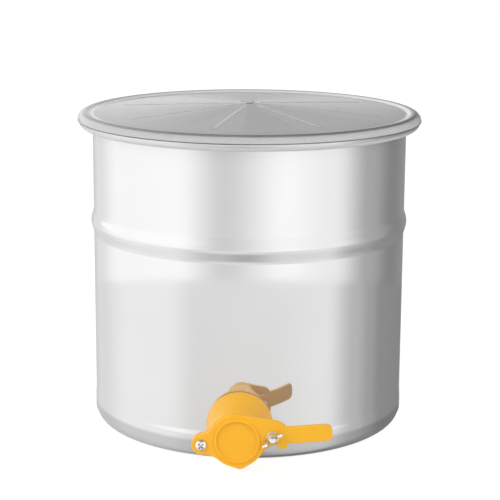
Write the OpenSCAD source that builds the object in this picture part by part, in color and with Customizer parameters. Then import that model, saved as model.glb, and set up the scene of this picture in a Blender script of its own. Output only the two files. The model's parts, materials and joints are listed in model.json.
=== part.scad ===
/* [Tank] */
// Outside radius of the steel wall
wall_r = 180; // [150:1:240]
// Thickness of the steel sheet
sheet_t = 0.8; // [0.6:0.1:1.2]
// Height of the middle of the rim curl above the table
rim_z = 351; // [300:1:480]
// Outside radius of the rim curl's section
curl_r = 8.3; // [6:0.1:12]
// Angle left open between the end of the curl and the wall
curl_open = 60; // [40:1:110]
// Outside radius of the corner between base and wall
corner_r = 12; // [8:0.5:13]
// Height of the base flange inside the foot of the wall
lap_h = 3.6; // [2:0.1:4]
// Amount the foot of the wall stands out
flare_out = 0.6; // [0.2:0.1:1.2]
// Height of the straight part of the flared foot
flare_low = 22; // [18:1:25]
// Height at which the flare ends
flare_top = 37; // [28:1:45]

/* [Hoop] */
// Height of the middle of the pressed hoop
hoop_z = 235; // [150:1:290]
// Height of the pressed hoop from edge to edge
hoop_h = 30; // [20:1:50]
// Amount the hoop stands out of the wall
hoop_out = 3.1; // [1:0.1:6]
// Number of steps along the curve of the hoop
hoop_steps = 24; // [12:2:48]

/* [Lid] */
// Thickness of the lid's skin
lid_t = 0.9; // [0.7:0.1:2]
// Share of the lid rim's height at which the panel meets the rim
panel_share = 0.76; // [0.5:0.01:0.9]
// Rise of the lid's panel from its edge to its middle
panel_rise = 10.7; // [5:0.1:30]
// Number of ribs on the lid
rib_count = 8; // [4:1:12]
// Width of a lid rib
rib_w = 4.5; // [1.5:0.1:6]
// Height of a lid rib above the panel
rib_h = 1; // [0.6:0.1:3]
// Turn of the first rib from the valve's side
rib_turn = -12; // [-22:1:22]
// Share of the panel's radius where a rib begins
rib_in_share = 0.09; // [0.05:0.01:0.3]
// Share of the panel's radius where a rib ends
rib_out_share = 0.83; // [0.6:0.01:0.93]
// Radius of the moulded mark at the middle of the lid
mark_r = 4; // [2:0.5:10]
// Height of the moulded mark above the panel
mark_h = 0.8; // [0.4:0.1:2]

/* [Valve] */
// Height of the valve's middle above the table
valve_z = 43.5; // [43:0.5:70]
// Turn of the valve from level, right side up
valve_roll = 8; // [-15:1:15]
// Radius of the valve's bore
bore_r = 20; // [14:0.5:21]
// Outside radius of the threaded tail
tail_r = 23.9; // [23:0.1:25]
// Radius of the barrel at the wall
back_r = 36; // [32:0.5:40]
// Radius of the barrel at the front
front_r = 30; // [26:0.5:31]
// Length of the straight part of the barrel at the wall
land_h = 5; // [2:0.5:10]
// Length of the barrel from its back to the blade
barrel_len = 51.3; // [40:0.1:70]
// Distance of an ear's middle from the valve's middle
ear_off = 38; // [38:0.5:46]
// Radius of an ear
ear_r = 10.4; // [8:0.1:11]
// Thickness of the plate with the ears
ear_t = 8; // [5:0.5:12]
// Radius of the hollow between an ear and the round plate
ear_fillet = 25; // [15:0.5:40]

/* [Valve seals and nut] */
// Width of the outer gasket's ring
outer_seal_w = 10.8; // [4:0.1:11.5]
// Least thickness of the outer gasket
outer_seal_t = 0.6; // [0.4:0.1:3]
// Outside radius of the inner gasket
inner_seal_r = 27; // [26:0.5:27]
// Least thickness of the inner gasket
inner_seal_t = 1; // [0.6:0.1:2]
// Radius of the lock nut's flange
nut_r = 30; // [28:0.5:31]
// Thickness of the lock nut's flange
nut_flange_t = 3; // [2:0.5:5]
// Thickness of the lock nut's six-sided part
nut_hex_t = 9; // [6:0.5:14]
// Length of tail beyond the lock nut
tail_over = 3; // [1:0.5:8]

/* [Blade] */
// Thickness of the blade
blade_t = 4.5; // [3:0.1:7]
// Radius of the blade's disc
disc_r = 29; // [25:0.5:31]
// Outside radius of the raised ring
ring_r = 24.5; // [20:0.5:25]
// Width of the raised ring
ring_w = 3; // [1.5:0.1:5]
// Height of the raised ring
ring_h = 1.5; // [0.8:0.1:2]
// Depth of the face inside the ring
dish_d = 0.8; // [0.3:0.1:2]
// Length of the drip lip below the disc
lip_len = 2.2; // [1:0.1:4]
// Radius of the drip lip's rounded tip
lip_round = 8; // [2:0.5:14]
// Radius of the blade's hook round the clamp screw
hook_r = 18; // [16:0.5:20]
// Drop of the hook's stub below the line of the ears
stub_drop = 13.8; // [12:0.1:16]
// Width of the hook's stub
stub_w = 10.2; // [8:0.1:14]
// Radius of the stub's corners
stub_round = 2.5; // [1:0.1:4]
// Width of the slot round the clamp screw
slot_w = 7.6; // [7:0.1:9]
// Sweep of the slot round the pivot
slot_sweep = 18; // [16:1:24]
// Length of the lever from the clamp screw to its end
lever_len = 62.6; // [50:0.1:90]
// Height of the lever
lever_h = 18.1; // [15:0.1:22]
// Height of the lever's middle line above the clamp screw
lever_rise = 0.8; // [0:0.1:2]
// Drop of the lever below the line of the ears
lever_tilt = 2.7; // [0:0.1:10]
// Radius of the lever's end corners
lever_round = 7; // [2:0.5:7]

/* [Screws] */
// Radius of the screws
screw_r = 3; // [2.5:0.1:3.3]
// Radius of the pivot screw's head
head_r = 6; // [5:0.1:7]
// Height of the pivot screw's head
head_h = 3.6; // [2.5:0.1:5]
// Length of one arm of the cross recess
cross_len = 3.8; // [2:0.1:4]
// Width of the cross recess
cross_w = 1.5; // [0.8:0.1:1.6]
// Depth of the cross recess
cross_d = 2.2; // [1:0.1:2.2]
// Turn of the cross recess from the line of the ears
cross_turn = 40; // [0:1:89]
// Size across the flats of hex nut and hex head
hex_flats = 10; // [8:0.1:10.5]
// Height of hex nut and hex head
hex_h = 4.5; // [3:0.1:6]
// Length of thread beyond the pivot nut
thread_over = 2; // [1:0.1:5]
// Outside radius of the washer
washer_r = 6.5; // [5.5:0.1:7]
// Thickness of the washer
washer_t = 1.2; // [0.8:0.1:2]
// Radius of the wing nut's hub
hub_r = 5.4; // [4.6:0.1:6]
// Height of the wing nut's hub
hub_h = 7; // [5:0.1:10]
// Span of the wing nut over both wings
wing_span = 27; // [18:0.5:28]
// Height of the wings above the washer
wing_h = 12; // [9:0.5:16]
// Thickness of a wing
wing_t = 3.2; // [1.5:0.1:3.5]
// Radius of a wing's rounded end
wing_lobe = 4; // [3:0.1:4.3]
// Turn of the wing nut from the line of the ears
wing_turn = 28; // [0:1:89]
// Length of thread beyond the hub of the wing nut
stud_over = 4; // [2:0.5:10]

/* [Fits] */
// Clearance of a pin in a hole it turns in
run_fit = 0.05; // [0.02:0.01:0.1]
// Clearance of a part pushed through a hole
free_fit = 0.3; // [0.1:0.05:0.5]
// Clearance of a seated or lapped face
seat_fit = 0.05; // [0.02:0.01:0.1]
// Clearance of the lid over the rim curl
lid_fit = 0.3; // [0.2:0.05:0.6]
// Overrun of a cut beyond the face it leaves
cut_over = 1; // [0.5:0.1:2]

/* [Hidden] */
$fn = 96;
fine_steps = 720;
turn = 360;
half_turn = 180;
quarter_turn = 90;
hex_sides = 6;
// heights of the wall's foot and of the base flange
wall_low = corner_r;
lap_top = corner_r + lap_h;
base_r = wall_r + flare_out - sheet_t - seat_fit;
in_r = wall_r - sheet_t;
// middle of the rim curl's section
curl_x = in_r + curl_r;
lid_in_r = curl_r + lid_fit;
lid_out_r = lid_in_r + lid_t;
// the lid's panel, which ends on the round rim
panel_r = curl_x - lid_out_r * cos(asin(panel_share));
panel_z = rim_z + lid_out_r * panel_share + panel_rise;
panel_slope = atan(panel_rise / panel_r);
// distances along the valve from the tank's axis
back_z = wall_r + flare_out + outer_seal_t;
seat_z = back_z + barrel_len;
plate_z = seat_z - ear_t;
nut_face = sqrt(in_r * in_r - nut_r * nut_r) - inner_seal_t;
tail_z = nut_face - nut_flange_t - nut_hex_t - tail_over;
blade_z = seat_z + blade_t;
washer_z = blade_z + washer_t;
hex_r = hex_flats / 2 / cos(half_turn / hex_sides);
slot_r = slot_w / 2;
slot_arm = 2 * ear_off;
seal_in_r = tail_r + free_fit;
outer_seal_r = seal_in_r + outer_seal_w;
seal_top = valve_z + 2 * outer_seal_r;
// overlap of outlines that blend into each other
blend_over = 0.03;

function back(p) = [for (i = [len(p) - 1:-1:0]) p[i]];
function hoop_rise(i) = hoop_out * (1 - cos(turn * i / hoop_steps)) / 2;
function hoop_line(r) = [for (i = [0:hoop_steps])
    [r + hoop_rise(i), hoop_z - hoop_h / 2 + hoop_h * i / hoop_steps]];
function foot_line(r) = [[r + flare_out, wall_low], [r + flare_out, flare_low], [r, flare_top]];
function wall_line(r) = concat(foot_line(r), hoop_line(r), [[r, rim_z]]);
// middle of the circle that fills the hollow between an ear and a round plate
function hollow_x(r) = (pow(ear_r + ear_fillet, 2) - pow(r + ear_fillet, 2) - ear_off * ear_off) / slot_arm;
function hollow_y(r) = sqrt(pow(r + ear_fillet, 2) - pow(hollow_x(r), 2));

module at_valve() {
    translate([0, 0, valve_z])
        rotate([quarter_turn, 0, 0])
            rotate([0, 0, valve_roll])
                children();
}

module rod(r, low, high) {
    translate([0, 0, low])
        cylinder(r = r, h = high - low);
}

module curl_section() {
    reach = 2 * curl_r;
    end = half_turn + curl_open;
    mid = half_turn + curl_open / 2;
    translate([curl_x, rim_z])
        difference() {
            circle(r = curl_r);
            circle(r = curl_r - sheet_t);
            polygon([[0, 0], [-reach, 0], [2 * reach * cos(mid), 2 * reach * sin(mid)],
                [reach * cos(end), reach * sin(end)]]);
        }
}

module valve_hole() {
    at_valve()
        rod(seal_in_r, wall_r / 2, 2 * wall_r);
}

module wall_core(r) {
    rotate_extrude($fn = fine_steps)
        polygon([[0, 0], [r + flare_out, 0], [r + flare_out, flare_low], [r, flare_top],
            [r, seal_top], [0, seal_top]]);
}

module tank_wall() {
    color([0.78, 0.79, 0.80])
        difference() {
            rotate_extrude()
                union() {
                    polygon(concat(wall_line(wall_r), back(wall_line(in_r))));
                    curl_section();
                }
            valve_hole();
        }
}

module tank_base() {
    mid = base_r - corner_r;
    color([0.72, 0.73, 0.74])
        rotate_extrude()
            union() {
                square([mid, sheet_t]);
                translate([mid, corner_r])
                    intersection() {
                        difference() {
                            circle(r = corner_r);
                            circle(r = corner_r - sheet_t);
                        }
                        translate([0, -2 * corner_r])
                            square([2 * corner_r, 2 * corner_r]);
                    }
                translate([base_r - sheet_t, corner_r])
                    square([sheet_t, lap_top - corner_r]);
            }
}

module lid_rib() {
    start = panel_r * rib_in_share;
    end = panel_r * rib_out_share;
    translate([0, 0, panel_z])
        rotate([0, panel_slope, 0]) {
            translate([start, -rib_w / 2, -lid_t / 2])
                cube([end - start, rib_w, lid_t / 2 + rib_h]);
            translate([end, 0, -lid_t / 2])
                cylinder(r = rib_w / 2, h = lid_t / 2 + rib_h);
        }
}

// all that lies under a lid face with a rim of radius r and a panel that peaks at top
module lid_fill(r, top) {
    translate([curl_x, rim_z])
        circle(r = r);
    polygon([[0, 0], [0, top], [curl_x, top - curl_x * tan(panel_slope)], [curl_x, 0]]);
}

module lid() {
    color([0.75, 0.76, 0.77])
        union() {
            rotate_extrude()
                difference() {
                    lid_fill(lid_out_r, panel_z);
                    lid_fill(lid_in_r, panel_z - lid_t);
                    square([2 * curl_x, rim_z]);
                }
            for (i = [0:rib_count - 1])
                rotate([0, 0, rib_turn - quarter_turn + turn * i / rib_count])
                    lid_rib();
            rod(mark_r, panel_z - lid_t, panel_z + mark_h);
        }
}

// an ear on the left and its hollowed web to a round plate
module left_ear(r) {
    fx = hollow_x(r);
    fy = hollow_y(r);
    translate([-ear_off, 0])
        circle(r = ear_r);
    difference() {
        polygon([[0, 0], [fx, fy], [-ear_off, 0], [fx, -fy]]);
        for (side = [-1, 1])
            translate([fx, side * fy])
                circle(r = ear_fillet + blend_over);
    }
}

module valve_body() {
    color([0.95, 0.68, 0.10])
        at_valve()
            difference() {
                union() {
                    rod(tail_r, tail_z, back_z + land_h);
                    rod(back_r, back_z, back_z + land_h);
                    translate([0, 0, back_z + land_h])
                        cylinder(r1 = back_r, r2 = front_r, h = plate_z - back_z - land_h);
                    translate([0, 0, plate_z])
                        linear_extrude(ear_t)
                            union() {
                                circle(r = front_r);
                                left_ear(front_r);
                                mirror([1, 0])
                                    left_ear(front_r);
                            }
                }
                rod(bore_r, tail_z - cut_over, seat_z + cut_over);
                for (side = [-1, 1])
                    translate([side * ear_off, 0, 0])
                        rod(screw_r + free_fit, plate_z - cut_over, seat_z + cut_over);
            }
}

module outer_gasket() {
    color([0.90, 0.86, 0.74])
        difference() {
            at_valve()
                difference() {
                    rod(outer_seal_r, wall_r - outer_seal_r / 2, back_z);
                    rod(seal_in_r, wall_r - outer_seal_r, back_z + cut_over);
                }
            wall_core(wall_r + seat_fit);
        }
}

module inner_gasket() {
    color([0.90, 0.86, 0.74])
        intersection() {
            at_valve()
                difference() {
                    rod(inner_seal_r, nut_face, wall_r + flare_out);
                    rod(seal_in_r, nut_face - cut_over, 2 * wall_r);
                }
            wall_core(in_r - seat_fit);
        }
}

module lock_nut() {
    color([0.95, 0.68, 0.10])
        at_valve()
            difference() {
                union() {
                    rod(nut_r, nut_face - nut_flange_t, nut_face);
                    translate([0, 0, nut_face - nut_flange_t - nut_hex_t])
                        cylinder(r = nut_r, h = nut_hex_t + nut_flange_t / 2, $fn = hex_sides);
                }
                rod(tail_r + seat_fit, tail_z, nut_face + cut_over);
            }
}

module rounded_lip() {
    tip_y = disc_r + lip_len - lip_round;
    lean = acos((disc_r - lip_round) / tip_y);
    side_r = disc_r - blend_over;
    end_r = lip_round - blend_over;
    translate([0, -tip_y])
        circle(r = lip_round);
    polygon([[0, 0], [-side_r * sin(lean), -side_r * cos(lean)], [-end_r * sin(lean), -tip_y - end_r * cos(lean)],
        [end_r * sin(lean), -tip_y - end_r * cos(lean)], [side_r * sin(lean), -side_r * cos(lean)]]);
}

// the stub that stands down beside the slot
module hook_stub() {
    translate([ear_off + slot_r, 0]) {
        translate([0, stub_round - stub_drop])
            square([stub_w, stub_drop - stub_round]);
        translate([stub_round, -stub_drop])
            square([stub_w - 2 * stub_round, stub_drop]);
        for (x = [stub_round, stub_w - stub_round])
            translate([x, stub_round - stub_drop])
                circle(r = stub_round);
    }
}

// the hook, its web to the disc, its stub and the lever
module blade_arm() {
    lean = acos((disc_r - hook_r) / ear_off);
    side_r = disc_r - blend_over;
    end_r = hook_r - blend_over;
    difference() {
        union() {
            translate([ear_off, 0])
                circle(r = hook_r);
            polygon([[0, 0], [side_r * cos(lean), side_r * sin(lean)],
                [ear_off + end_r * cos(lean), end_r * sin(lean)], [ear_off, -slot_r], [0, -slot_r]]);
        }
        translate([ear_off - 2 * hook_r, -slot_r - 2 * hook_r])
            square([4 * hook_r, 2 * hook_r]);
    }
    hook_stub();
    translate([ear_off, 0])
        rotate([0, 0, -lever_tilt])
            translate([0, lever_rise]) {
                translate([hook_r / 2, -lever_h / 2])
                    square([lever_len - lever_round - hook_r / 2, lever_h]);
                translate([lever_len - 2 * lever_round, lever_round - lever_h / 2])
                    square([2 * lever_round, lever_h - 2 * lever_round]);
                for (side = [-1, 1])
                    translate([lever_len - lever_round, side * (lever_h / 2 - lever_round)])
                        circle(r = lever_round);
            }
}

// the slot follows a circle round the pivot and opens downward
module blade_slot() {
    reach = 2 * slot_arm;
    translate([ear_off, 0])
        circle(r = slot_r);
    translate([-ear_off, 0])
        intersection() {
            difference() {
                circle(r = slot_arm + slot_r);
                circle(r = slot_arm - slot_r);
            }
            polygon([[0, 0], [reach, 0], [reach * cos(slot_sweep), -reach * sin(slot_sweep)]]);
        }
}

module gate_blade() {
    color([0.96, 0.70, 0.12])
        at_valve()
            difference() {
                union() {
                    translate([0, 0, seat_z])
                        linear_extrude(blade_t)
                            difference() {
                                union() {
                                    circle(r = disc_r);
                                    rounded_lip();
                                    left_ear(disc_r);
                                    blade_arm();
                                }
                                blade_slot();
                                translate([-ear_off, 0])
                                    circle(r = screw_r + run_fit);
                            }
                    rod(ring_r, seat_z, blade_z + ring_h);
                }
                rod(ring_r - ring_w, blade_z - dish_d, blade_z + ring_h + cut_over);
            }
}

module pivot_screw() {
    ball_r = (head_r * head_r + head_h * head_h) / head_h / 2;
    color([0.80, 0.80, 0.80])
        at_valve()
            translate([-ear_off, 0, 0])
                difference() {
                    union() {
                        rod(screw_r, plate_z - hex_h - thread_over, blade_z + head_h / 2);
                        intersection() {
                            rod(head_r, blade_z, blade_z + head_h);
                            translate([0, 0, blade_z + head_h - ball_r])
                                sphere(r = ball_r);
                        }
                    }
                    for (angle = [0, quarter_turn])
                        rotate([0, 0, angle + cross_turn])
                            translate([-cross_len, -cross_w / 2, blade_z + head_h - cross_d])
                                cube([2 * cross_len, cross_w, cross_d + cut_over]);
                }
}

module hex_block(low, high) {
    translate([0, 0, low])
        cylinder(r = hex_r, h = high - low, $fn = hex_sides);
}

module pivot_nut() {
    color([0.78, 0.78, 0.78])
        at_valve()
            translate([-ear_off, 0, 0])
                difference() {
                    hex_block(plate_z - hex_h, plate_z);
                    rod(screw_r + seat_fit, plate_z - hex_h - cut_over, plate_z + cut_over);
                }
}

module clamp_screw() {
    color([0.80, 0.80, 0.80])
        at_valve()
            translate([ear_off, 0, 0])
                union() {
                    hex_block(plate_z - hex_h, plate_z);
                    rod(screw_r, plate_z - hex_h / 2, washer_z + hub_h + stud_over);
                }
}

module clamp_washer() {
    color([0.80, 0.80, 0.80])
        at_valve()
            translate([ear_off, 0, 0])
                difference() {
                    rod(washer_r, blade_z, washer_z);
                    rod(screw_r + free_fit, blade_z - cut_over, washer_z + cut_over);
                }
}

module wing() {
    far = wing_span / 2 - wing_lobe;
    high = wing_h - wing_lobe;
    translate([far, high])
        circle(r = wing_lobe);
    polygon([[0, wing_t / 2], [hub_r, wing_t / 2], [far + wing_lobe * cos(quarter_turn / 2),
        high - wing_lobe * sin(quarter_turn / 2)], [far - wing_lobe * cos(quarter_turn / 2),
        high + wing_lobe * sin(quarter_turn / 2)], [0, hub_h]]);
}

module wing_nut() {
    color([0.80, 0.80, 0.80])
        at_valve()
            translate([ear_off, 0, washer_z])
                rotate([0, 0, wing_turn])
                    difference() {
                        union() {
                            cylinder(r1 = hub_r, r2 = screw_r + wing_t / 2, h = hub_h);
                            rotate([quarter_turn, 0, 0])
                                translate([0, 0, -wing_t / 2])
                                    linear_extrude(wing_t)
                                        union() {
                                            wing();
                                            mirror([1, 0])
                                                wing();
                                        }
                        }
                        rod(screw_r + run_fit, -cut_over, wing_h + cut_over);
                    }
}

tank_wall();
tank_base();
lid();
valve_body();
outer_gasket();
inner_gasket();
lock_nut();
gate_blade();
pivot_screw();
pivot_nut();
clamp_screw();
clamp_washer();
wing_nut();
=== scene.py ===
import json
import math

import bmesh
import bpy
from mathutils import Matrix, Vector


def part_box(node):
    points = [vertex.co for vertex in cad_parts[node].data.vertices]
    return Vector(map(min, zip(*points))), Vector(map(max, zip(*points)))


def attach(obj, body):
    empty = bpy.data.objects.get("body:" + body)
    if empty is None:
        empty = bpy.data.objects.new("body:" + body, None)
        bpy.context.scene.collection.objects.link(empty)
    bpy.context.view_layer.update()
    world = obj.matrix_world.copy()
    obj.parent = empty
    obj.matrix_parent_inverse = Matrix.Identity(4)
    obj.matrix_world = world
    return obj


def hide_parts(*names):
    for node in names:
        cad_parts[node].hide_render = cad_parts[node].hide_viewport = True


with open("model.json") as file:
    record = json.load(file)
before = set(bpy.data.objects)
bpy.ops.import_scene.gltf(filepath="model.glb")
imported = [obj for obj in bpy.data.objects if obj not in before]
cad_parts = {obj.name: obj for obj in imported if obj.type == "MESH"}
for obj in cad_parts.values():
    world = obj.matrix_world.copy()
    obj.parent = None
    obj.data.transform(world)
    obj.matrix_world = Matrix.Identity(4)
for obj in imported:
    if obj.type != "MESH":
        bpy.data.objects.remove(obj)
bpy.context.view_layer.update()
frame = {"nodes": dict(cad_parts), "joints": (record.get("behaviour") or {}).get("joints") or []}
scene = bpy.context.scene
mm = 0.001  # sizes below are in millimetres, meshes in metres
largeTurn = 128  # steps round large turned pieces
smallTurn = 48  # steps round shanks and small holes
past = 5  # how far a cutter reaches past what it cuts
print("frame loaded with", len(frame["nodes"]), "nodes")


# outlines and profiles

mostReach = 0.49  # share of a side that one rounding may take


def arc(centre, radius, start, end, steps):
    angles = [math.radians(start + (end - start) * i / steps) for i in range(steps + 1)]
    return [(centre[0] + radius * math.cos(a), centre[1] + radius * math.sin(a)) for a in angles]


def heading(x, y):
    return math.degrees(math.atan2(y, x))


def softLine(corners, closed=False, steps=6):
    line = []  # corners are (x, y, rounding)
    count = len(corners)
    for i, (x, y, rounding) in enumerate(corners):
        atEnd = not closed and i in (0, count - 1)
        if rounding == 0 or atEnd:
            line.append((x, y))
            continue
        here = Vector((x, y))
        behind = Vector(corners[i - 1][:2]) - here
        ahead = Vector(corners[(i + 1) % count][:2]) - here
        reach = rounding / math.tan(behind.angle(ahead) / 2)
        reach = min(reach, behind.length * mostReach, ahead.length * mostReach)
        first = here + behind.normalized() * reach
        last = here + ahead.normalized() * reach
        for k in range(steps + 1):
            t = k / steps
            point = first * (1 - t) ** 2 + here * 2 * t * (1 - t) + last * t ** 2
            line.append((point.x, point.y))
    return line


# mesh helpers

edges = {"segments": 3, "bevelFrom": 40, "sharpFrom": 35}  # angles in degrees


def meshFrom(bm, name):
    bmesh.ops.recalc_face_normals(bm, faces=bm.faces)
    mesh = bpy.data.meshes.new(name)
    bm.to_mesh(mesh)
    bm.free()
    return mesh


def lathe(name, profile, steps, closed=False):
    bm = bmesh.new()
    rings = []
    for radius, height in profile:
        count = steps if radius > 0 else 1  # one point on the axis
        spin = [2 * math.pi * i / steps for i in range(count)]
        rings.append([bm.verts.new((radius * math.cos(a) * mm, radius * math.sin(a) * mm, height * mm))
                      for a in spin])
    followers = rings[1:] + rings[:1] if closed else rings[1:]
    for ring, following in zip(rings, followers):
        for i in range(steps):
            j = i + 1
            corners = [ring[i % len(ring)], ring[j % len(ring)],
                       following[j % len(following)], following[i % len(following)]]
            corners = list(dict.fromkeys(corners))
            if len(corners) > 2:
                bm.faces.new(corners)
    return meshFrom(bm, name)


def prism(name, outline, low, high):
    bm = bmesh.new()
    face = bm.faces.new([bm.verts.new((x * mm, y * mm, low * mm)) for x, y in outline])
    grown = bmesh.ops.extrude_face_region(bm, geom=[face])
    top = [v for v in grown["geom"] if isinstance(v, bmesh.types.BMVert)]
    bmesh.ops.translate(bm, vec=(0, 0, (high - low) * mm), verts=top)
    return meshFrom(bm, name)


def rod(name, radius, low, high, steps=96):
    return prism(name, arc((0, 0), radius, 0, 360 - 360 / steps, steps - 1), low, high)


def tempObject(mesh):
    thing = bpy.data.objects.new(mesh.name, mesh)
    scene.collection.objects.link(thing)
    return thing


def bake(thing):
    graph = bpy.context.evaluated_depsgraph_get()
    mesh = bpy.data.meshes.new_from_object(thing.evaluated_get(graph))
    mesh.name = thing.name
    bpy.data.objects.remove(thing)
    return mesh


def combine(mesh, others, operation):
    thing = tempObject(mesh)
    helpers = [tempObject(other) for other in others]
    for helper in helpers:
        modifier = thing.modifiers.new(operation, "BOOLEAN")
        modifier.operation = operation
        modifier.solver = "EXACT"
        modifier.object = helper
    result = bake(thing)
    for helper in helpers:
        bpy.data.objects.remove(helper)
    return result


def soften(mesh, width):
    thing = tempObject(mesh)
    modifier = thing.modifiers.new("edges", "BEVEL")
    modifier.limit_method = "ANGLE"
    modifier.angle_limit = math.radians(edges["bevelFrom"])
    modifier.width = width * mm
    modifier.segments = edges["segments"]
    modifier.use_clamp_overlap = True
    return bake(thing)


def joinMeshes(name, meshes):
    bm = bmesh.new()
    for mesh in meshes:
        bm.from_mesh(mesh)
    joined = bpy.data.meshes.new(name)
    bm.to_mesh(joined)
    bm.free()
    return joined


def moved(mesh, *matrices):
    for matrix in matrices:
        mesh.transform(matrix)
    return mesh


def flattenShading(mesh):
    thing = tempObject(mesh)  # large flat faces stay flat beside small ones
    modifier = thing.modifiers.new("normals", "WEIGHTED_NORMAL")
    modifier.keep_sharp = True
    return bake(thing)


def addPiece(name, mesh, material, body, slot, *nodes):
    mesh.materials.clear()
    mesh.materials.append(material)
    mesh.polygons.foreach_set("material_index", [0] * len(mesh.polygons))
    mesh.shade_smooth()
    mesh.set_sharp_from_angle(angle=math.radians(edges["sharpFrom"]))
    mesh = flattenShading(mesh)
    mesh.name = name
    piece = bpy.data.objects.new(name, mesh)
    scene.collection.objects.link(piece)
    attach(piece, body)
    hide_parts(*nodes)


# node helpers

def addNode(tree, kind, *sources, **settings):
    node = tree.nodes.new(kind)
    for key, value in settings.items():
        setattr(node, key, value)
    for place, source in enumerate(sources):
        if source is None:
            continue
        if isinstance(source, bpy.types.NodeSocket):
            tree.links.new(source, node.inputs[place])
        else:
            node.inputs[place].default_value = source
    return node


def maths(tree, operation, *sources):
    return addNode(tree, "ShaderNodeMath", *sources, operation=operation).outputs[0]


def ramp(tree, source, stops, blend="LINEAR"):
    node = addNode(tree, "ShaderNodeValToRGB", source)
    node.color_ramp.interpolation = blend
    stock = node.color_ramp.elements
    while len(stock) < len(stops):
        stock.new(1)
    for element, (place, shade) in zip(stock, stops):
        element.position = place
        element.color = (shade, shade, shade, 1)
    return node.outputs[0]


def newMaterial(name, settings):
    material = bpy.data.materials.new(name)
    material.use_nodes = True
    tree = material.node_tree
    shader = tree.nodes["Principled BSDF"]
    for label, value in settings.items():
        shader.inputs[label].default_value = value
    place = addNode(tree, "ShaderNodeTexCoord").outputs["Object"]
    return material, tree, shader, place


def noise(tree, place, scale, detail, roughness, stretch=(1, 1, 1)):
    mapping = addNode(tree, "ShaderNodeMapping", place)
    mapping.inputs["Scale"].default_value = stretch
    texture = addNode(tree, "ShaderNodeTexNoise", mapping.outputs[0])
    texture.inputs["Scale"].default_value = scale
    texture.inputs["Detail"].default_value = detail
    texture.inputs["Roughness"].default_value = roughness
    return texture.outputs[0]


def remap(tree, source, low, high, toLow=0.0, toHigh=1.0):
    return addNode(tree, "ShaderNodeMapRange", source, low, high, toLow, toHigh).outputs[0]


noiseSpan = (0.3, 0.7)  # most of a noise texture lies between these


def spread(tree, source, look):
    return remap(tree, source, *noiseSpan, look["smoothest"], look["roughest"])


def roughen(tree, shader, source, look):
    tree.links.new(spread(tree, source, look), shader.inputs["Roughness"])


def mixColour(tree, share, first, second, blend="MIX"):
    skipped = [None] * 5  # the sockets for numbers and vectors
    mix = addNode(tree, "ShaderNodeMix", share, *skipped, first, second, data_type="RGBA", blend_type=blend)
    return mix.outputs[2]


def tint(tree, shader, source, look):
    colour = mixColour(tree, source, (*look["dark"], 1), (*look["light"], 1))
    tree.links.new(colour, shader.inputs["Base Color"])


def darken(tree, shader, dim):
    colour = shader.inputs["Base Color"]
    tree.links.new(mixColour(tree, 1.0, colour.links[0].from_socket, dim, "MULTIPLY"), colour)


# painted shade: ambient occlusion darkens the colour in recesses
def paintCreviceShade(tree, shader, reach):
    colour = shader.inputs["Base Color"]
    crevice = addNode(tree, "ShaderNodeAmbientOcclusion", colour.links[0].from_socket, reach * mm)
    tree.links.new(crevice.outputs["Color"], colour)


def relief(tree, shader, source, strength, distance):
    bump = addNode(tree, "ShaderNodeBump")
    bump.inputs["Strength"].default_value = strength
    bump.inputs["Distance"].default_value = distance * mm
    tree.links.new(source, bump.inputs["Height"])
    tree.links.new(bump.outputs[0], shader.inputs["Normal"])


def fromAxis(tree, axes):
    squared = maths(tree, "MULTIPLY", axes.outputs[1], axes.outputs[1])
    squared = maths(tree, "MULTIPLY_ADD", axes.outputs[0], axes.outputs[0], squared)
    return maths(tree, "SQRT", squared)


# finishes; places on a piece are in metres, relief and crevices in millimetres

steelLook = {"dark": (0.68, 0.68, 0.68), "light": (0.72, 0.72, 0.72), "smoothest": 0.03, "roughest": 0.05,
             "grain": {"scale": 900, "detail": 2, "roughness": 0.6, "stretch": (0.02, 0.02, 1)},
             "cloud": {"scale": 9, "detail": 4, "roughness": 0.55},
             "relief": {"strength": 0.02, "distance": 0.01}, "haze": 0.2,
             "seamWidth": 0.0022, "seamBehind": 0.1, "seamRoughness": 0.16,
             "rimReach": 0.1845, "underRim": (0.3455, 0.3495), "rimRoughness": 0.4,
             "liningReach": 0.1796, "liningFoot": 0.02, "liningPaintedShade": 0.85, "liningRoughness": 0.3,
             "foot": (0.019, 0.023), "footPaintedShade": 0.72, "footRoughness": 0.12}


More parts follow.
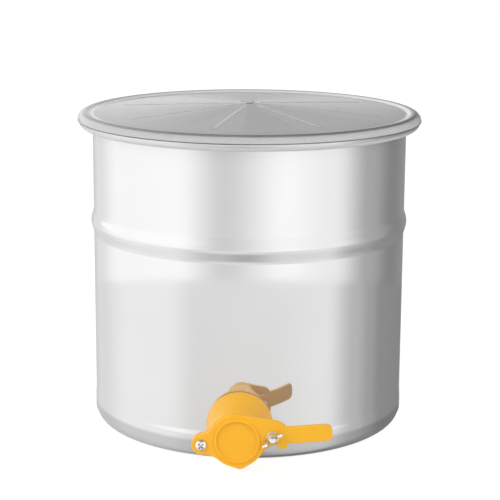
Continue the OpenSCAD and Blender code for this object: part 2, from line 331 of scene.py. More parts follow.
def makeSteel():
    look = steelLook
    material, tree, shader, place = newMaterial("rolledSteel", {"Metallic": 1.0})
    along = noise(tree, place, **look["grain"])  # grain runs round the sheet
    cloud = noise(tree, place, **look["cloud"])
    axes = addNode(tree, "ShaderNodeSeparateXYZ", place)
    outward, height = fromAxis(tree, axes), axes.outputs[2]
    behind = maths(tree, "GREATER_THAN", axes.outputs[1], look["seamBehind"])
    sideways = maths(tree, "ABSOLUTE", axes.outputs[0])
    onSeam = maths(tree, "LESS_THAN", sideways, look["seamWidth"] / 2)
    seam = maths(tree, "MULTIPLY", behind, onSeam)  # the welded seam at the back
    onRim = maths(tree, "GREATER_THAN", outward, look["rimReach"])
    below = remap(tree, height, *look["underRim"], 1.0, 0.0)
    unpolished = maths(tree, "MULTIPLY", onRim, below)  # the polish does not reach under the curl
    nearAxis = maths(tree, "LESS_THAN", outward, look["liningReach"])
    aboveBase = maths(tree, "GREATER_THAN", height, look["liningFoot"])
    lining = maths(tree, "MULTIPLY", nearAxis, aboveBase)  # the inside is left dull, and its colour is darkened as painted shade inside the tank
    foot = remap(tree, height, *look["foot"], 1.0, 0.0)  # the pressed base is rougher than the wall, and its colour is darkened as painted shade, standing in for the mirrored shadow on the floor by the foot
    rough = spread(tree, along, look)
    for zone, more in ((seam, "seamRoughness"), (unpolished, "rimRoughness"), (lining, "liningRoughness"),
                       (foot, "footRoughness")):
        rough = maths(tree, "MULTIPLY_ADD", zone, look[more], rough)
    tree.links.new(rough, shader.inputs["Roughness"])
    polish = 1 - look["haze"]  # the sheet is a little hazy, so its mirror image is pale
    tree.links.new(maths(tree, "MULTIPLY_ADD", unpolished, -polish, polish), shader.inputs["Metallic"])
    tint(tree, shader, cloud, look)
    # painted shade: the colour of the tank's inside and of the pressed base is darkened
    for zone, shade in ((lining, "liningPaintedShade"), (foot, "footPaintedShade")):
        darken(tree, shader, remap(tree, zone, 0.0, 1.0, 1.0, look[shade]))
    relief(tree, shader, along, **look["relief"])
    return material


# shade and clear run from the panel's edge outwards, by distance from the axis; in shade, the ring from 0.18
# to 0.184 is painted light on the gutter's far flank and the band from 0.186 to 0.19 is painted shade on the
# crease before the roll, and clear makes both rings milkier
lidLook = {"dark": (0.92, 0.93, 0.94), "light": (0.97, 0.98, 0.98), "smoothest": 0.06, "roughest": 0.12,
           "bend": 1.49, "cloud": {"scale": 14, "detail": 3, "roughness": 0.5},
           "peak": 0.3689, "slope": 0.0591, "ribFoot": -0.00005, "ribTop": 0.00015, "ribReach": 0.165,
           "ribClear": 0.35, "edge": (0.3517, 0.3522), "edgePaintedShade": 0.3, "reach": 0.2,
           "shade": [(0.178, 0.5), (0.18, 0.75), (0.184, 0.75), (0.186, 0.16), (0.1902, 0.16), (0.193, 1.0)],
           "clear": [(0.178, 0.85), (0.18, 0.1), (0.184, 0.1), (0.186, 0.35), (0.189, 0.35), (0.1935, 1.0)]}


def makeLidPlastic():
    look = lidLook
    material, tree, shader, place = newMaterial("clearLidPlastic", {"IOR": look["bend"]})
    cloud = noise(tree, place, **look["cloud"])
    roughen(tree, shader, cloud, look)
    tint(tree, shader, cloud, look)
    axes = addNode(tree, "ShaderNodeSeparateXYZ", place)
    outward, height = fromAxis(tree, axes), axes.outputs[2]
    panel = maths(tree, "MULTIPLY_ADD", outward, -look["slope"], look["peak"])
    over = maths(tree, "SUBTRACT", height, panel)
    over = maths(tree, "MULTIPLY", over, maths(tree, "LESS_THAN", outward, look["ribReach"]))
    rib = remap(tree, over, look["ribFoot"], look["ribTop"], 1.0, look["ribClear"])
    across = maths(tree, "DIVIDE", outward, look["reach"])
    # painted light in the gutter ring and painted shade on the crease, set by radius
    shade = ramp(tree, across, [(radius / look["reach"], value) for radius, value in look["shade"]])
    # painted shade: a dark line along the lid's lower edge, standing in for the shadow gap above the steel
    # curl
    edge = remap(tree, height, *look["edge"], look["edgePaintedShade"], 1.0)
    darken(tree, shader, maths(tree, "MULTIPLY", shade, edge))
    clear = ramp(tree, across, [(radius / look["reach"], value) for radius, value in look["clear"]])
    clear = maths(tree, "MINIMUM", clear, rib)  # the thick ribs are milkier than the panel
    tree.links.new(clear, shader.inputs["Transmission Weight"])
    return material


valveLook = {"dark": (0.86, 0.42, 0.014), "light": (0.91, 0.47, 0.02), "smoothest": 0.30, "roughest": 0.42,
             "bend": 1.4, "cloud": {"scale": 38, "detail": 4, "roughness": 0.55},
             "skin": {"scale": 2600, "detail": 2, "roughness": 0.5},
             "relief": {"strength": 0.12, "distance": 0.03}}

zincLook = {"dark": (0.86, 0.83, 0.80), "light": (0.96, 0.93, 0.90), "smoothest": 0.16, "roughest": 0.32,
            "cloud": {"scale": 260, "detail": 3, "roughness": 0.6},
            "skin": {"scale": 1900, "detail": 2, "roughness": 0.6, "stretch": (1, 0.1, 1)},
            "relief": {"strength": 0.06, "distance": 0.02}, "creviceReach": 2}

rubberLook = {"dark": (0.66, 0.58, 0.40), "light": (0.76, 0.69, 0.52), "smoothest": 0.48, "roughest": 0.66,
              "bend": 1.5, "cloud": {"scale": 90, "detail": 4, "roughness": 0.6},
              "skin": {"scale": 1800, "detail": 2, "roughness": 0.5},
              "relief": {"strength": 0.2, "distance": 0.05}}


def makeFinish(name, look, settings):
    material, tree, shader, place = newMaterial(name, settings)
    cloud = noise(tree, place, **look["cloud"])
    skin = noise(tree, place, **look["skin"])
    roughen(tree, shader, skin, look)
    tint(tree, shader, cloud, look)
    if "creviceReach" in look:
        # painted shade in the zinc parts' recesses, such as the screw head's cross
        paintCreviceShade(tree, shader, look["creviceReach"])
    relief(tree, shader, skin, **look["relief"])
    return material


steel = makeSteel()
lidPlastic = makeLidPlastic()
yellow = makeFinish("yellowNylon", valveLook, {"IOR": valveLook["bend"]})
zinc = makeFinish("zincPlate", zincLook, {"Metallic": 1.0})
rubber = makeFinish("paleSilicone", rubberLook, {"IOR": rubberLook["bend"]})
print("finishes made")


# geometry node trees for what repeats or follows a path

def newTree(name, inputs):
    tree = bpy.data.node_groups.new(name, "GeometryNodeTree")
    for label, kind in inputs.items():
        tree.interface.new_socket(label, in_out="INPUT", socket_type="NodeSocket" + kind)
    tree.interface.new_socket("Geometry", in_out="OUTPUT", socket_type="NodeSocketGeometry")
    given = tree.nodes.new("NodeGroupInput")
    return tree, {socket.name: socket for socket in given.outputs}


def closeTree(tree, shape, material):
    real = addNode(tree, "GeometryNodeRealizeInstances", shape)
    finish = addNode(tree, "GeometryNodeSetMaterial", real.outputs[0])
    finish.inputs["Material"].default_value = material
    addNode(tree, "NodeGroupOutput", finish.outputs[0])


def growTree(tree, values):
    thing = tempObject(bpy.data.meshes.new(tree.name))
    modifier = thing.modifiers.new(tree.name, "NODES")
    modifier.node_group = tree
    for socket in tree.interface.items_tree:
        if socket.in_out == "INPUT":
            modifier[socket.identifier] = values[socket.name]
    return bake(thing)


# the section is an ellipse sunk until only its top stands out, as wide there as Width, so a rib eases in
ribForm = {"points": 65, "sides": 20, "wider": 1.34, "deeper": 6.0, "sink": 2.0,
           "tip": 0.25, "tipGrowth": 16.0}


def makeRibTree():
    tree, given = newTree("lidRibs", {"Count": "Int", "Start": "Vector", "End": "Vector", "Width": "Float",
                                      "Height": "Float", "Turn": "Float"})
    line = addNode(tree, "GeometryNodeCurvePrimitiveLine")
    tree.links.new(given["Start"], line.inputs["Start"])
    tree.links.new(given["End"], line.inputs["End"])
    fine = addNode(tree, "GeometryNodeResampleCurve", line.outputs[0])
    fine.inputs["Count"].default_value = ribForm["points"]
    share = addNode(tree, "GeometryNodeSplineParameter").outputs["Factor"]
    rest = maths(tree, "SUBTRACT", 1.0, share)
    nearEnd = maths(tree, "MINIMUM", share, rest)
    taper = maths(tree, "MULTIPLY_ADD", nearEnd, ribForm["tipGrowth"], ribForm["tip"])
    taper = maths(tree, "MINIMUM", taper, 1.0)
    thick = addNode(tree, "GeometryNodeSetCurveRadius", fine.outputs[0])
    tree.links.new(taper, thick.inputs["Radius"])
    circle = addNode(tree, "GeometryNodeCurvePrimitiveCircle")
    circle.inputs["Resolution"].default_value = ribForm["sides"]
    circle.inputs["Radius"].default_value = 0.5  # one across, brought to size below
    sunk = maths(tree, "MULTIPLY", given["Height"], ribForm["sink"])
    wide = maths(tree, "MULTIPLY", given["Width"], ribForm["wider"])
    deep = maths(tree, "MULTIPLY", given["Height"], ribForm["deeper"])
    size = addNode(tree, "ShaderNodeCombineXYZ", wide, deep, 1.0)
    shift = addNode(tree, "ShaderNodeCombineXYZ", 0.0, sunk)
    section = addNode(tree, "GeometryNodeTransform", circle.outputs[0])
    tree.links.new(shift.outputs[0], section.inputs["Translation"])
    tree.links.new(size.outputs[0], section.inputs["Scale"])
    rib = addNode(tree, "GeometryNodeCurveToMesh", thick.outputs[0], section.outputs[0])
    rib.inputs["Fill Caps"].default_value = True
    points = addNode(tree, "GeometryNodePoints", given["Count"])
    order = addNode(tree, "GeometryNodeInputIndex").outputs[0]
    step = maths(tree, "DIVIDE", 2 * math.pi, given["Count"])
    angle = maths(tree, "MULTIPLY_ADD", order, step, given["Turn"])
    facing = addNode(tree, "ShaderNodeCombineXYZ", 0.0, 0.0, angle)
    copies = addNode(tree, "GeometryNodeInstanceOnPoints", points.outputs[0])
    tree.links.new(rib.outputs[0], copies.inputs["Instance"])
    tree.links.new(facing.outputs[0], copies.inputs["Rotation"])
    closeTree(tree, copies.outputs[0], lidPlastic)
    return tree


threadForm = {"turnSteps": 48, "sides": 4, "depth": 0.5}  # a tooth's height as a share of the pitch


def makeThreadTree(name, material):
    tree, given = newTree(name, {"Radius": "Float", "Pitch": "Float", "Turns": "Float", "Depth": "Float"})
    helix = addNode(tree, "GeometryNodeCurveSpiral")
    helix.inputs["Resolution"].default_value = threadForm["turnSteps"]
    tree.links.new(given["Turns"], helix.inputs["Rotations"])
    tree.links.new(given["Radius"], helix.inputs["Start Radius"])
    tree.links.new(given["Radius"], helix.inputs["End Radius"])
    tree.links.new(maths(tree, "MULTIPLY", given["Pitch"], given["Turns"]), helix.inputs["Height"])
    tooth = addNode(tree, "GeometryNodeCurvePrimitiveCircle")
    tooth.inputs["Resolution"].default_value = threadForm["sides"]
    tree.links.new(given["Depth"], tooth.inputs["Radius"])
    ridge = addNode(tree, "GeometryNodeCurveToMesh", helix.outputs[0], tooth.outputs[0])
    ridge.inputs["Fill Caps"].default_value = True
    closeTree(tree, ridge.outputs[0], material)
    return tree


ribTree = makeRibTree()
zincThreadTree = makeThreadTree("screwThread", zinc)
tailThreadTree = makeThreadTree("tailThread", yellow)


def thread(tree, radius, pitch, low, high):
    depth = pitch * threadForm["depth"]
    turns = (high - low - pitch) / pitch
    ridge = growTree(tree, {"Radius": (radius - depth) * mm, "Pitch": pitch * mm, "Turns": turns,
                            "Depth": depth * mm})
    return moved(ridge, Matrix.Translation((0, 0, (low + pitch / 2) * mm)))


# places taken from the frame, in millimetres

wallBox = [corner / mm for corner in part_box("tank_wall")]
lidBox = [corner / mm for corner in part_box("lid")]
valveBox = [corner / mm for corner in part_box("valve_body")]
sealBox = [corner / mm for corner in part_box("outer_gasket")]
swing = next(joint for joint in frame["joints"] if joint["name"] == "gate_swing")
pivot = Vector(swing["pos_m"]) / mm
rimHeight = lidBox[0].z
valveHeight = (sealBox[0].z + sealBox[1].z) / 2
valveRoll = math.atan2(valveHeight - pivot.z, -pivot.x)
earOff = math.hypot(pivot.x, valveHeight - pivot.z)
seatOut = -valveBox[0].y  # distances along the valve are from the tank's axis
tailEnd = -valveBox[1].y
atValve = (Matrix.Translation((0, 0, valveHeight * mm)) @ Matrix.Rotation(math.radians(90), 4, "X")
           @ Matrix.Rotation(valveRoll, 4, "Z"))


def atEar(side):
    return Matrix.Translation((side * earOff * mm, 0, 0))


# tank wall and base

tank = {"sheet": 0.8, "curl": 8.3, "curlEnd": -120, "corner": 12, "lap": 3.6, "lapFit": 0.05,
        "flare": 0.6, "flareLow": 22, "flareTop": 37, "flareSteps": 8,
        "hoopMiddle": 235, "hoopHeight": 30, "hoopOut": 3.1, "hoopSteps": 32, "curlSteps": 30,
        "cornerSteps": 16, "holeRadius": 24.2, "steps": 192}
wallRadius = wallBox[1].x + tank["sheet"] - 2 * tank["curl"]
innerRadius = wallRadius - tank["sheet"]
curlMiddle = innerRadius + tank["curl"]


def wallLine(radius):
    foot = radius + tank["flare"]
    flareHeight = tank["flareTop"] - tank["flareLow"]
    line = [(foot, tank["corner"])]
    for i in range(tank["flareSteps"] + 1):
        share = i / tank["flareSteps"]
        ease = share * share * (3 - 2 * share)
        line.append((foot - tank["flare"] * ease, tank["flareLow"] + flareHeight * share))
    for i in range(tank["hoopSteps"] + 1):
        share = i / tank["hoopSteps"]
        swell = tank["hoopOut"] * (1 - math.cos(2 * math.pi * share)) / 2
        line.append((radius + swell, tank["hoopMiddle"] + tank["hoopHeight"] * (share - 0.5)))
    return line


def makeWall():
    middle = (curlMiddle, rimHeight)
    under = arc(middle, tank["curl"] - tank["sheet"], 180, tank["curlEnd"], tank["curlSteps"])
    over = arc(middle, tank["curl"], tank["curlEnd"], 180, tank["curlSteps"])
    profile = wallLine(wallRadius) + under + over + wallLine(innerRadius)[::-1]
    sheet = lathe("tankWall", profile, tank["steps"], closed=True)
    hole = moved(rod("valveHole", tank["holeRadius"], wallRadius / 2, 2 * wallRadius), atValve)
    sheet = combine(sheet, [hole], "DIFFERENCE")
    addPiece("tankWall", sheet, steel, "tank", "steel", "tank_wall")


def makeBase():
    outside = wallRadius + tank["flare"] - tank["sheet"] - tank["lapFit"]
    corner, sheet, steps = tank["corner"], tank["sheet"], tank["cornerSteps"]
    middle = (outside - corner, corner)
    top = corner + tank["lap"]
    profile = [(0, 0)] + arc(middle, corner, -90, 0, steps) + [(outside, top), (outside - sheet, top)]
    profile += arc(middle, corner - sheet, 0, -90, steps) + [(0, sheet)]
    dish = lathe("tankBase", profile, tank["steps"])
    addPiece("tankBase", dish, steel, "tank", "steel", "tank_base")


makeWall()
makeBase()
print("tank made")


# lid

lid = {"skin": 0.9, "fit": 0.3, "panelShare": 0.76, "gutter": 4, "gutterTurn": 24,
       "ribs": 8, "ribWidth": 4.5, "ribHeight": 0.4, "ribTurn": -12, "ribIn": 0.09, "ribOut": 0.83,
       "markRadius": 4, "markHeight": 0.8, "markEdge": 0.3, "markFoot": 0.4, "rimSteps": 28, "steps": 192}


def makeLid():
    middle = (curlMiddle, rimHeight)
    inside = tank["curl"] + lid["fit"]
    outside = inside + lid["skin"]
    rimEnd = 180 - math.degrees(math.asin(lid["panelShare"]))  # where the panel meets the rim
    edge, edgeHeight = arc(middle, outside, rimEnd, 0, 1)[0]
    peak = lidBox[1].z - lid["markHeight"]
    slope = (peak - edgeHeight) / edge
    mark = lid["markRadius"]
    markTop = lidBox[1].z
    rim = arc(middle, outside, rimEnd - lid["gutterTurn"], 0, lid["rimSteps"])
    panel = softLine([(0, markTop, 0), (mark, markTop, lid["markEdge"]),
                      (mark, peak - mark * slope, lid["markFoot"]),
                      (edge, edgeHeight, lid["gutter"]), (*rim[0], 0)])
    lining = arc(middle, inside, 0, rimEnd, lid["rimSteps"])
    profile = panel[:-1] + rim + lining + [(0, peak - lid["skin"])]
    shell = lathe("lid", profile, lid["steps"])
    start, end = edge * lid["ribIn"], edge * lid["ribOut"]
    ribs = growTree(ribTree, {"Count": lid["ribs"], "Start": (start * mm, 0, (peak - start * slope) * mm),
                              "End": (end * mm, 0, (peak - end * slope) * mm), "Width": lid["ribWidth"] * mm,
                              "Height": lid["ribHeight"] * mm, "Turn": math.radians(lid["ribTurn"] - 90)})
    shell = combine(shell, [ribs], "UNION")
    addPiece("lid-cover", shell, lidPlastic, "lid", "lid_plastic", "lid")


makeLid()
print("lid made")


# valve body, lock nut and seals

valve = {"boreRadius": 20, "tailRadius": 23.9, "tailPitch": 2.3, "tailEdge": 1,
         "backRadius": 36, "backEdge": 0.4, "land": 5, "landEdge": 2, "frontRadius": 30, "neckIn": 1,
         "neckDeep": 2, "earRadius": 10.4, "earThick": 8, "hollow": 25, "edge": 1.2, "screwHole": 3.3,
         "hollowSteps": 14, "earSteps": 32, "plateSteps": 40}
backOut = -sealBox[0].y
plateOut = seatOut - valve["earThick"]


def leftEar(plate):
    ear, hollow = valve["earRadius"], valve["hollow"]
    hx = ((ear + hollow) ** 2 - (plate + hollow) ** 2 - earOff ** 2) / (2 * earOff)
    hy = math.sqrt((plate + hollow) ** 2 - hx ** 2)  # middle of the hollow between plate and ear
    nearPlate, nearEar = heading(-hx, -hy), heading(-earOff - hx, -hy)
    side = heading(hx + earOff, hy)
    steps = valve["hollowSteps"]
    outline = (arc((hx, hy), hollow, nearPlate, nearEar, steps)
               + arc((-earOff, 0), ear, side, 360 - side, valve["earSteps"])[1:-1]
               + arc((hx, -hy), hollow, -nearEar, -nearPlate, steps))
    return outline, heading(hx, hy)  # with the angle at which the ear leaves the plate


def makeValveBody():
    front, back, steps = valve["frontRadius"], valve["backRadius"], valve["plateSteps"]
    ear, joinAngle = leftEar(front)
    across = [(-x, -y) for x, y in ear]
    below = arc((0, 0), front, 360 - joinAngle, 180 + joinAngle, steps)[1:-1]
    above = arc((0, 0), front, 180 - joinAngle, joinAngle, steps)[1:-1]
    plate = soften(prism("valvePlate", ear + below + across + above, plateOut, seatOut), valve["edge"])
    root = valve["tailRadius"] - valve["tailPitch"] / 2
    land = backOut + valve["land"]
    inPlate = plateOut + valve["neckDeep"]
    profile = softLine([(0, tailEnd, 0), (root, tailEnd, valve["tailEdge"]), (root, backOut, 0),
                        (back, backOut, valve["backEdge"]), (back, land, valve["landEdge"]),
                        (front, plateOut, 0), (front - valve["neckIn"], inPlate, 0), (0, inPlate, 0)])
    barrel = combine(lathe("barrel", profile, largeTurn), [plate], "UNION")
    bore = rod("bore", valve["boreRadius"], tailEnd - past, seatOut + past, largeTurn)
    cutters = [bore]
    for side in (-1, 1):
        hole = rod("earHole", valve["screwHole"], plateOut - past, seatOut + past, smallTurn)
        cutters.append(moved(hole, atEar(side)))
    barrel = combine(barrel, cutters, "DIFFERENCE")
    tail = thread(tailThreadTree, valve["tailRadius"], valve["tailPitch"], tailEnd, backOut)
    body = moved(joinMeshes("valveBody", [barrel, tail]), atValve)
    addPiece("valve-body", body, yellow, "tank", "valve_plastic", "valve_body")


makeValveBody()

lockNut = {"radius": 30, "flange": 3, "hex": 9, "gap": 1, "seat": 0.05,
           "edge": 0.8, "backEdge": 1, "faceEdge": 0.6}


def hexOutline(corner):
    return arc((0, 0), corner, 0, 300, 5)  # six corners


def makeLockNut():
    radius = lockNut["radius"]
    face = math.sqrt(innerRadius ** 2 - radius ** 2) - lockNut["gap"]
    back = face - lockNut["flange"]
    top = back - lockNut["hex"]
    flange = softLine([(0, back, 0), (radius, back, lockNut["backEdge"]), (radius, face, lockNut["faceEdge"]),
                       (0, face, 0)])
    grip = prism("nutGrip", hexOutline(radius), top, back + lockNut["flange"] / 2)
    nut = combine(lathe("flange", flange, largeTurn), [soften(grip, lockNut["edge"])], "UNION")
    hole = rod("nutHole", valve["tailRadius"] + lockNut["seat"], top - past, face + past, largeTurn)
    nut = moved(combine(nut, [hole], "DIFFERENCE"), atValve)
    addPiece("lock-nut", nut, yellow, "tank", "valve_plastic", "lock_nut")


makeLockNut()
for ring in ("outer_gasket", "inner_gasket"):
    node = frame["nodes"][ring]
    node.data.materials.clear()
    node.data.materials.append(rubber)
print("valve body made")


# gate blade

# dishLip gives points out from the dish's side and up from the ring's crest, with a rounding each
blade = {"thick": 4.5, "disc": 29, "lip": 2.2, "lipRound": 8, "hook": 18, "slot": 7.6,
         "stubDrop": 13.8, "stubWidth": 10.2, "stubRound": 2.5, "stubFoot": 0.8,
         "lever": 62.6, "leverHeight": 18.1, "leverRise": 0.8, "leverTilt": -2.7, "leverRound": 8,
         "ringRadius": 24.5, "ringWidth": 3, "ringHeight": 1.5, "ringEdge": 0.8, "ringRoot": 1,
         "dish": 0.8, "dishEdge": 0.6, "dishLip": [(0.6, 1, 0), (0.4, -0.2, 0.8), (0, -0.8, 0.5)],
         "pinHole": 3.05, "edge": 0.7,
         "steps": {"lip": 10, "right": 20, "slot": 20, "lever": 10, "hook": 14, "top": 30, "left": 16}}


def bladeOutline():
    disc, hook, slot = blade["disc"], blade["hook"], blade["slot"] / 2
    lipRound, steps = blade["lipRound"], blade["steps"]
    tip = (0, lipRound - disc - blade["lip"])
    lipLean = math.degrees(math.acos((disc - lipRound) / -tip[1]))
    armLean = math.degrees(math.acos((disc - hook) / earOff))
    half, rise = blade["leverHeight"] / 2, blade["leverRise"]
    tilt = blade["leverTilt"]
    grip = tilt + math.degrees(math.asin((half + rise) / hook))
    turn = Matrix.Rotation(math.radians(tilt), 2)
    ear, joinAngle = leftEar(disc)
    slotFoot = math.degrees(math.asin(slot / disc))
    drop, stubSide = -blade["stubDrop"], slot + blade["stubWidth"]
    end, rounding = blade["lever"], blade["leverRound"]
    under = (rise - half) / math.cos(math.radians(tilt)) + stubSide * math.tan(math.radians(tilt))
    ends = [turn @ Vector((end, rise + side * half)) for side in (-1, 1)]
    arm = softLine([(slot, 0, 0), (slot, drop, blade["stubRound"]), (stubSide, drop, blade["stubRound"]),
                    (stubSide, under, blade["stubFoot"]), (*ends[0], rounding), (*ends[1], rounding),
                    arc((0, 0), hook, grip, 0, 1)[0] + (0,)], steps=steps["lever"])
    pin = (earOff, 0)
    return (arc(tip, lipRound, -90 - lipLean, lipLean - 90, steps["lip"])
            + arc((0, 0), disc, lipLean - 90, -slotFoot, steps["right"])
            + arc(pin, slot, 180, 0, steps["slot"])
            + [(earOff + x, y) for x, y in arm[1:-1]]
            + arc(pin, hook, grip, armLean, steps["hook"])
            + arc((0, 0), disc, armLean, joinAngle, steps["top"])[:-1]
            + ear
            + arc((0, 0), disc, 360 - joinAngle, 270 - lipLean, steps["left"])[1:])


def makeBlade():
    front = seatOut + blade["thick"]
    plate = soften(prism("bladePlate", bladeOutline(), seatOut, front), blade["edge"])
    outer, inner = blade["ringRadius"], blade["ringRadius"] - blade["ringWidth"]
    crest, sunk = front + blade["ringHeight"], front - blade["dish"]
    root = seatOut + blade["ringRoot"]
    ring = softLine([(0, root, 0), (outer, root, 0), (outer, crest, blade["ringEdge"]), (0, crest, 0)])
    plate = combine(plate, [lathe("ring", ring, largeTurn)], "UNION")
    lip = [(inner + out, crest + up, rounding) for out, up, rounding in blade["dishLip"]]
    dish = softLine([(0, lip[0][1], 0)] + lip + [(inner, sunk, blade["dishEdge"]), (0, sunk, 0)])
    hole = moved(rod("pinHole", blade["pinHole"], seatOut - past, front + past, smallTurn), atEar(-1))
    plate = combine(plate, [lathe("dish", dish, largeTurn), hole], "DIFFERENCE")
    addPiece("gate-blade", moved(plate, atValve), yellow, "gate", "valve_plastic", "gate_blade")


makeBlade()
print("gate blade made")


# screws, washer and wing nut

screw = {"radius": 3, "pitch": 1, "endEdge": 0.4, "over": 2, "bore": 3.05, "rootLap": 1, "headLap": 0.5,
         "headRadius": 6, "headHeight": 3.6, "headFoot": 0.3, "sideHeight": 1.2, "shoulder": 0.8,
         "crownShare": 0.72, "crownDrop": 0.5, "crownRound": 2.5, "headSteps": 64,
         "crossLength": 3.8, "crossWidth": 1.5, "crossDepth": 2.2, "crossTurn": 40, "crossPast": 1,
         "flats": 10, "hexHeight": 4.5, "chamfer": 0.6, "chamferIn": 0.1, "chamferSteps": 96}
washer = {"radius": 6.5, "bore": 3.3, "thick": 1.2, "steps": 72,
          "boreEdge": 0.2, "backEdge": 0.3, "frontEdge": 0.4}
wing = {"hubRadius": 5.4, "hubTop": 4.2, "hubHeight": 7, "hubFoot": 0.4, "hubEdge": 0.9, "hubSteps": 64,
        "span": 27, "height": 12, "thick": 3.2, "lobe": 4, "lobeStart": -50, "lobeEnd": 130, "lobeSteps": 20,
        "rootDrop": 1.2, "footShare": 0.9, "footRise": 1.4, "saddleOut": 3.4, "saddleDrop": 0.6,
        "saddleRound": 2, "turn": 28, "studOver": 4, "edge": 0.8}
bladeFront = seatOut + blade["thick"]
washerFront = bladeFront + washer["thick"]


def hexBlock(name, low, high):
    flat = screw["flats"] / 2
    corner = flat / math.cos(math.radians(30))
    drop = (corner - flat) * screw["chamfer"]
    face = flat - screw["chamferIn"]
    line = [(0, low), (face, low), (corner, low + drop), (corner, high - drop), (face, high), (0, high)]
    turned = lathe("chamfer", line, screw["chamferSteps"])
    return combine(prism(name, hexOutline(corner), low, high), [turned], "INTERSECT")


def threadedRod(low, high):
    radius, pitch, edge = screw["radius"], screw["pitch"], screw["endEdge"]
    root = radius - pitch / 2
    core = softLine([(0, low, 0), (root, low, edge), (root, high, edge), (0, high, 0)])
    return [lathe("core", core, smallTurn), thread(zincThreadTree, radius, pitch, low, high)]


def makePivotScrew():
    radius, top = screw["headRadius"], bladeFront + screw["headHeight"]
    head = softLine([(0, bladeFront, 0), (radius, bladeFront, screw["headFoot"]),
                     (radius, bladeFront + screw["sideHeight"], screw["shoulder"]),
                     (radius * screw["crownShare"], top - screw["crownDrop"], screw["crownRound"]),
                     (0, top, 0)])
    length, half = screw["crossLength"], screw["crossWidth"] / 2
    slot = [(-length, -half), (length, -half), (length, half), (-length, half)]
    cross = []
    for turn in (screw["crossTurn"], screw["crossTurn"] + 90):
        arm = prism("crossArm", slot, top - screw["crossDepth"], top + screw["crossPast"])
        cross.append(moved(arm, Matrix.Rotation(math.radians(turn), 4, "Z")))
    cap = combine(lathe("head", head, screw["headSteps"]), cross, "DIFFERENCE")
    shank = rod("shank", screw["radius"], plateOut, bladeFront + screw["headLap"], smallTurn)
    end = plateOut - screw["hexHeight"] - screw["over"]
    whole = joinMeshes("pivotScrew", [cap, shank] + threadedRod(end, plateOut + screw["rootLap"]))
    addPiece("pivot-screw", moved(whole, atEar(-1), atValve), zinc, "tank", "zinc", "pivot_screw")


def makePivotNut():
    low = plateOut - screw["hexHeight"]
    block = hexBlock("pivotNut", low, plateOut)
    hole = rod("nutBore", screw["bore"], low - past, plateOut + past, smallTurn)
    nut = moved(combine(block, [hole], "DIFFERENCE"), atEar(-1), atValve)
    addPiece("pivot-nut", nut, zinc, "tank", "zinc", "pivot_nut")


def makeClampScrew():
    end = washerFront + wing["hubHeight"] + wing["studOver"]
    head = hexBlock("boltHead", plateOut - screw["hexHeight"], plateOut)
    shank = threadedRod(plateOut - screw["rootLap"], end)
    bolt = moved(joinMeshes("clampScrew", [head] + shank), atEar(1), atValve)
    addPiece("clamp-screw", bolt, zinc, "tank", "zinc", "clamp_screw")


def makeWasher():
    inner, outer = washer["bore"], washer["radius"]
    line = softLine([(inner, bladeFront, washer["boreEdge"]), (outer, bladeFront, washer["backEdge"]),
                     (outer, washerFront, washer["frontEdge"]), (inner, washerFront, washer["boreEdge"])],
                    closed=True)
    ring = moved(lathe("washer", line, washer["steps"], closed=True), atEar(1), atValve)
    addPiece("clamp-washer", ring, zinc, "washer", "zinc", "clamp_washer")


def makeWingNut():
    radius, height, half = wing["hubRadius"], wing["hubHeight"], wing["thick"] / 2
    far, high = wing["span"] / 2 - wing["lobe"], wing["height"] - wing["lobe"]
    root = (0, height - wing["rootDrop"], 0)
    foot = (radius * wing["footShare"], wing["footRise"], 0)
    saddle = (wing["saddleOut"], height - wing["saddleDrop"], wing["saddleRound"])
    lobe = arc((far, high), wing["lobe"], wing["lobeStart"], wing["lobeEnd"], wing["lobeSteps"])
    under = softLine([root, (0, half, 0), foot])
    over = softLine([lobe[-1] + (0,), saddle, root])[1:-1]
    leaf = soften(prism("wing", under + lobe + over, -half, half), wing["edge"])
    upright = Matrix.Rotation(math.radians(90), 4, "X")
    leaves = [moved(leaf.copy(), upright, Matrix.Rotation(math.radians(turn), 4, "Z")) for turn in (0, 180)]
    hub = softLine([(0, 0, 0), (radius, 0, wing["hubFoot"]), (wing["hubTop"], height, wing["hubEdge"]),
                    (0, height, 0)])
    nut = combine(lathe("hub", hub, wing["hubSteps"]), leaves, "UNION")
    hole = rod("wingBore", screw["bore"], -past, wing["height"] + past, smallTurn)
    nut = combine(nut, [hole], "DIFFERENCE")
    turned = Matrix.Rotation(math.radians(wing["turn"]), 4, "Z")
    onWasher = Matrix.Translation((0, 0, washerFront * mm))
    addPiece("wing-nut", moved(nut, turned, onWasher, atEar(1), atValve), zinc, "wing", "zinc", "wing_nut")


makePivotScrew()
makePivotNut()
makeClampScrew()
makeWasher()
makeWingNut()
print("fasteners made")


# camera, floor, world and lamps

view = {"distance": 1.812, "height": 0.612, "azimuth": 2.7, "yaw": -0.047, "tilt": 12.96, "roll": 0.36,
        "lens": 114.12, "sensor": 36}


def makeCamera():
    eye = bpy.data.objects.new("camera", bpy.data.cameras.new("camera"))
    scene.collection.objects.link(eye)
    eye.data.lens = view["lens"]
    eye.data.sensor_width = view["sensor"]
    side, distance = math.radians(view["azimuth"]), view["distance"]
    spot = Matrix.Translation((math.sin(side) * distance, -math.cos(side) * distance, view["height"]))
    facing = (Matrix.Rotation(math.radians(view["azimuth"] + view["yaw"]), 4, "Z")
              @ Matrix.Rotation(math.radians(90 - view["tilt"]), 4, "X")
              @ Matrix.Rotation(math.radians(view["roll"]), 4, "Z"))
    eye.matrix_world = spot @ facing
    scene.camera = eye


floorLook = {"size": 12, "glow": 0.82, "shade": (0.36, 0.36, 0.36), "bounce": (0.8, 0.8, 0.8)}


def seenRay(tree):
    path = addNode(tree, "ShaderNodeLightPath")  # straight from the camera or through clear plastic
    return maths(tree, "MAXIMUM", path.outputs["Is Camera Ray"], path.outputs["Is Transmission Ray"])


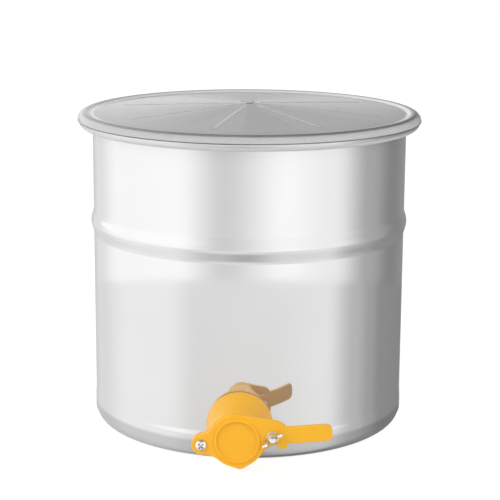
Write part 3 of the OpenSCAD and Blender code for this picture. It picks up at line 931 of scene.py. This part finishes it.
def makeFloor():
    half = floorLook["size"] / 2
    bm = bmesh.new()
    bm.faces.new([bm.verts.new((x * half, y * half, 0)) for x, y in ((-1, -1), (1, -1), (1, 1), (-1, 1))])
    floor = tempObject(meshFrom(bm, "floor"))
    material = bpy.data.materials.new("paleFloor")
    material.use_nodes = True
    tree = material.node_tree
    tree.nodes.clear()
    glow = addNode(tree, "ShaderNodeEmission", None, floorLook["glow"])
    shade = addNode(tree, "ShaderNodeBsdfDiffuse", (*floorLook["shade"], 1))
    bounce = addNode(tree, "ShaderNodeBsdfDiffuse", (*floorLook["bounce"], 1))
    shown = addNode(tree, "ShaderNodeAddShader", glow.outputs[0], shade.outputs[0])
    mix = addNode(tree, "ShaderNodeMixShader", seenRay(tree), bounce.outputs[0], shown.outputs[0])
    addNode(tree, "ShaderNodeOutputMaterial", mix.outputs[0])
    floor.data.materials.append(material)
    floor.visible_glossy = False  # the steel mirrors the studio, not the table


# brightness of the studio by compass direction from the camera's side, and by height, both in degrees;
# contrast and dip stretch it, because the hazy steel evens it out
studio = {
    "floor": {"stops": [(-180, 0.62), (-155, 0.87), (-65, 1.1), (-25, 0.7), (0, 0.58), (35, 0.95), (70, 1.0),
                        (100, 0.5), (155, 0.43), (180, 0.62)]},
    "table": {"above": -34, "blur": 8,
              "stops": [(-180, 0.5), (-160, 0.75), (-140, 0.9), (-95, 1.15), (-60, 1.15), (-35, 0.97),
                        (15, 1.0), (60, 1.1), (88, 0.65), (105, 0.48), (118, 0.37), (160, 0.36), (180, 0.5)]},
    "room": {"above": -14.08, "blur": 0.1,
             "stops": [(-180, 0.55), (-160, 0.75), (-140, 0.95), (-105, 1.3), (-50, 1.35), (-15, 0.87),
                       (30, 1.35), (65, 1.2), (100, 0.54), (130, 0.33), (160, 0.4), (180, 0.55)]},
    "sky": {"above": 1, "blur": 1,
            "stops": [(-180, 0.88), (-168, 1.15), (-110, 1.35), (-50, 1.38), (-15, 0.83), (30, 1.3),
                      (65, 1.2), (100, 0.54), (130, 0.36), (168, 0.3), (180, 0.88)]},
    "height": [(-90, 0.4), (-50, 1.0), (36, 1.0), (54, 0.4), (72, 0.2)], "contrast": 1.18, "dip": 0.195}


def makeWorld():
    world = bpy.data.worlds.new("studio")
    scene.world = world
    world.use_nodes = True
    tree = world.node_tree
    tree.nodes.clear()
    axes = addNode(tree, "ShaderNodeSeparateXYZ", addNode(tree, "ShaderNodeTexCoord").outputs["Generated"])
    toward = maths(tree, "MULTIPLY", axes.outputs[1], -1.0)
    compass = maths(tree, "ARCTAN2", axes.outputs[0], toward)
    compass = maths(tree, "MULTIPLY_ADD", compass, 0.5 / math.pi, 0.5)  # a full turn runs from 0 to 1
    height = maths(tree, "ARCSINE", axes.outputs[2])
    height = maths(tree, "MULTIPLY_ADD", height, 1 / math.pi, 0.5)  # straight down is 0 and straight up 1
    side = None
    for name in ("floor", "table", "room", "sky"):
        band = studio[name]
        shade = ramp(tree, compass, [(angle / 360 + 0.5, value) for angle, value in band["stops"]], "EASE")
        if side:
            low, high = band["above"] - band["blur"], band["above"] + band["blur"]
            shade = mixColour(tree, remap(tree, height, low / 180 + 0.5, high / 180 + 0.5), side, shade)
        side = shade
    side = maths(tree, "MULTIPLY_ADD", side, studio["contrast"], -studio["dip"])
    upward = ramp(tree, height, [(angle / 180 + 0.5, value) for angle, value in studio["height"]])
    around = addNode(tree, "ShaderNodeBackground", (1, 1, 1, 1), maths(tree, "MULTIPLY", side, upward))
    white = addNode(tree, "ShaderNodeBackground", (1, 1, 1, 1), 1.0)
    mix = addNode(tree, "ShaderNodeMixShader", seenRay(tree), around.outputs[0], white.outputs[0])
    addNode(tree, "ShaderNodeOutputWorld", mix.outputs[0])


lamps = {"overLeft": {"place": (-1.3, -1.2, 1.7), "size": 1.1, "power": 16.5},
         "overRight": {"place": (1.5, -1.0, 1.5), "size": 1.2, "power": 8.7}}
lampAim = Vector((0, -0.1, 0.15))


def makeLamps():
    for name, lamp in lamps.items():
        data = bpy.data.lights.new(name, "AREA")
        data.size = lamp["size"]
        data.energy = lamp["power"]
        light = bpy.data.objects.new(name, data)
        scene.collection.objects.link(light)
        light.location = lamp["place"]
        light.rotation_euler = (lampAim - light.location).to_track_quat("-Z", "Y").to_euler()
        light.visible_glossy = False
        light.visible_transmission = False


makeCamera()
makeFloor()
makeWorld()
makeLamps()
scene.view_settings.view_transform = "Standard"
print("stage made")
